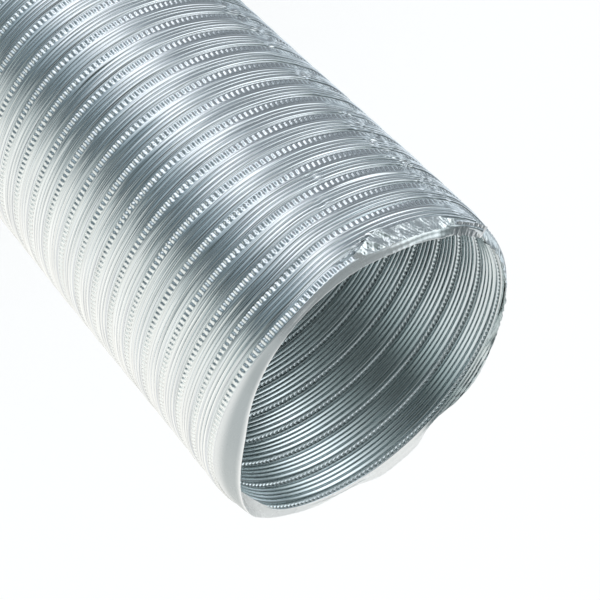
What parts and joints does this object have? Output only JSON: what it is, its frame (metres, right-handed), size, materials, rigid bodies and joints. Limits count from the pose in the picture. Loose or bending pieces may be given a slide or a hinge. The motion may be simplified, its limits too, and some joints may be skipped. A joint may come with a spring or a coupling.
{
  "type": "flexible air duct",
  "caption": "Round flexible air duct of thin aluminium strip, wound and folded into fine pleats with a knurled lock seam; it pulls out to three times its length and bends.",
  "frame": {"origin": "centre of the lower rim, on the surface the duct stands on", "axes": "+Z along the duct's axis, up through the air way to the open upper mouth; +X is the side that the duct bends towards"},
  "size_m": [0.134, 0.134, 0.3383],
  "materials": {
    "folded_wall": "bright rolled foil, finely pleated",
    "plain_rim": "smooth bright foil, lightly crumpled"
  },
  "bodies": {
    "section_01": {"lower_hem": "plain_rim", "turn_01": "folded_wall"},
    "section_02": {"turn_02": "folded_wall"},
    "section_03": {"turn_03": "folded_wall"},
    "section_04": {"turn_04": "folded_wall"},
    "section_05": {"turn_05": "folded_wall"},
    "section_06": {"turn_06": "folded_wall"},
    "section_07": {"turn_07": "folded_wall"},
    "section_08": {"turn_08": "folded_wall"},
    "section_09": {"turn_09": "folded_wall"},
    "section_10": {"turn_10": "folded_wall"},
    "section_11": {"turn_11": "folded_wall"},
    "section_12": {"turn_12": "folded_wall"},
    "section_13": {"turn_13": "folded_wall"},
    "section_14": {"turn_14": "folded_wall"},
    "section_15": {"turn_15": "folded_wall"},
    "section_16": {"turn_16": "folded_wall"},
    "section_17": {"turn_17": "folded_wall"},
    "section_18": {"turn_18": "folded_wall"},
    "section_19": {"turn_19": "folded_wall"},
    "section_20": {"turn_20": "folded_wall"},
    "section_21": {"turn_21": "folded_wall"},
    "section_22": {"turn_22": "folded_wall"},
    "section_23": {"turn_23": "folded_wall"},
    "section_24": {"turn_24": "folded_wall"},
    "section_25": {"turn_25": "folded_wall"},
    "section_26": {"turn_26": "folded_wall"},
    "section_27": {"turn_27": "folded_wall"},
    "section_28": {"turn_28": "folded_wall", "upper_hem": "plain_rim"}
  },
  "joints": [
    {"name": "stretch", "type": "slide", "parent": "section_01", "child": "section_02", "axis": [0, 0, 1], "range_m": [0, 0.046]},
    {"name": "bend", "type": "hinge", "parent": "section_02", "child": "section_03", "pos_m": [0.067, 0, 0.02996], "axis": [0, 1, 0], "range_deg": [0, 7]},
    {"name": "stretch_03", "type": "slide", "parent": "section_03", "child": "section_04", "axis": [0, 0, 1], "range_m": [0, 0.046]},
    {"name": "bend_04", "type": "hinge", "parent": "section_04", "child": "section_05", "pos_m": [0.067, 0, 0.05316], "axis": [0, 1, 0], "range_deg": [0, 7]},
    {"name": "stretch_05", "type": "slide", "parent": "section_05", "child": "section_06", "axis": [0, 0, 1], "range_m": [0, 0.046]},
    {"name": "bend_06", "type": "hinge", "parent": "section_06", "child": "section_07", "pos_m": [0.067, 0, 0.07636], "axis": [0, 1, 0], "range_deg": [0, 7]},
    {"name": "stretch_07", "type": "slide", "parent": "section_07", "child": "section_08", "axis": [0, 0, 1], "range_m": [0, 0.046]},
    {"name": "bend_08", "type": "hinge", "parent": "section_08", "child": "section_09", "pos_m": [0.067, 0, 0.09956], "axis": [0, 1, 0], "range_deg": [0, 7]},
    {"name": "stretch_09", "type": "slide", "parent": "section_09", "child": "section_10", "axis": [0, 0, 1], "range_m": [0, 0.046]},
    {"name": "bend_10", "type": "hinge", "parent": "section_10", "child": "section_11", "pos_m": [0.067, 0, 0.12276], "axis": [0, 1, 0], "range_deg": [0, 7]},
    {"name": "stretch_11", "type": "slide", "parent": "section_11", "child": "section_12", "axis": [0, 0, 1], "range_m": [0, 0.046]},
    {"name": "bend_12", "type": "hinge", "parent": "section_12", "child": "section_13", "pos_m": [0.067, 0, 0.14596], "axis": [0, 1, 0], "range_deg": [0, 7]},
    {"name": "stretch_13", "type": "slide", "parent": "section_13", "child": "section_14", "axis": [0, 0, 1], "range_m": [0, 0.046]},
    {"name": "bend_14", "type": "hinge", "parent": "section_14", "child": "section_15", "pos_m": [0.067, 0, 0.16916], "axis": [0, 1, 0], "range_deg": [0, 7]},
    {"name": "stretch_15", "type": "slide", "parent": "section_15", "child": "section_16", "axis": [0, 0, 1], "range_m": [0, 0.046]},
    {"name": "bend_16", "type": "hinge", "parent": "section_16", "child": "section_17", "pos_m": [0.067, 0, 0.19236], "axis": [0, 1, 0], "range_deg": [0, 7]},
    {"name": "stretch_17", "type": "slide", "parent": "section_17", "child": "section_18", "axis": [0, 0, 1], "range_m": [0, 0.046]},
    {"name": "bend_18", "type": "hinge", "parent": "section_18", "child": "section_19", "pos_m": [0.067, 0, 0.21556], "axis": [0, 1, 0], "range_deg": [0, 7]},
    {"name": "stretch_19", "type": "slide", "parent": "section_19", "child": "section_20", "axis": [0, 0, 1], "range_m": [0, 0.046]},
    {"name": "bend_20", "type": "hinge", "parent": "section_20", "child": "section_21", "pos_m": [0.067, 0, 0.23876], "axis": [0, 1, 0], "range_deg": [0, 7]},
    {"name": "stretch_21", "type": "slide", "parent": "section_21", "child": "section_22", "axis": [0, 0, 1], "range_m": [0, 0.046]},
    {"name": "bend_22", "type": "hinge", "parent": "section_22", "child": "section_23", "pos_m": [0.067, 0, 0.26196], "axis": [0, 1, 0], "range_deg": [0, 7]},
    {"name": "stretch_23", "type": "slide", "parent": "section_23", "child": "section_24", "axis": [0, 0, 1], "range_m": [0, 0.046]},
    {"name": "bend_24", "type": "hinge", "parent": "section_24", "child": "section_25", "pos_m": [0.067, 0, 0.28516], "axis": [0, 1, 0], "range_deg": [0, 7]},
    {"name": "stretch_25", "type": "slide", "parent": "section_25", "child": "section_26", "axis": [0, 0, 1], "range_m": [0, 0.046]},
    {"name": "bend_26", "type": "hinge", "parent": "section_26", "child": "section_27", "pos_m": [0.067, 0, 0.30836], "axis": [0, 1, 0], "range_deg": [0, 7]},
    {"name": "stretch_27", "type": "slide", "parent": "section_27", "child": "section_28", "axis": [0, 0, 1], "range_m": [0, 0.046]}
  ],
  "couplings": [
    {"joint": "stretch_03", "follows": "stretch", "ratio": 1},
    {"joint": "bend_04", "follows": "bend", "ratio": 1},
    {"joint": "stretch_05", "follows": "stretch", "ratio": 1},
    {"joint": "bend_06", "follows": "bend", "ratio": 1},
    {"joint": "stretch_07", "follows": "stretch", "ratio": 1},
    {"joint": "bend_08", "follows": "bend", "ratio": 1},
    {"joint": "stretch_09", "follows": "stretch", "ratio": 1},
    {"joint": "bend_10", "follows": "bend", "ratio": 1},
    {"joint": "stretch_11", "follows": "stretch", "ratio": 1},
    {"joint": "bend_12", "follows": "bend", "ratio": 1},
    {"joint": "stretch_13", "follows": "stretch", "ratio": 1},
    {"joint": "bend_14", "follows": "bend", "ratio": 1},
    {"joint": "stretch_15", "follows": "stretch", "ratio": 1},
    {"joint": "bend_16", "follows": "bend", "ratio": 1},
    {"joint": "stretch_17", "follows": "stretch", "ratio": 1},
    {"joint": "bend_18", "follows": "bend", "ratio": 1},
    {"joint": "stretch_19", "follows": "stretch", "ratio": 1},
    {"joint": "bend_20", "follows": "bend", "ratio": 1},
    {"joint": "stretch_21", "follows": "stretch", "ratio": 1},
    {"joint": "bend_22", "follows": "bend", "ratio": 1},
    {"joint": "stretch_23", "follows": "stretch", "ratio": 1},
    {"joint": "bend_24", "follows": "bend", "ratio": 1},
    {"joint": "stretch_25", "follows": "stretch", "ratio": 1},
    {"joint": "bend_26", "follows": "bend", "ratio": 1},
    {"joint": "stretch_27", "follows": "stretch", "ratio": 1}
  ]
}
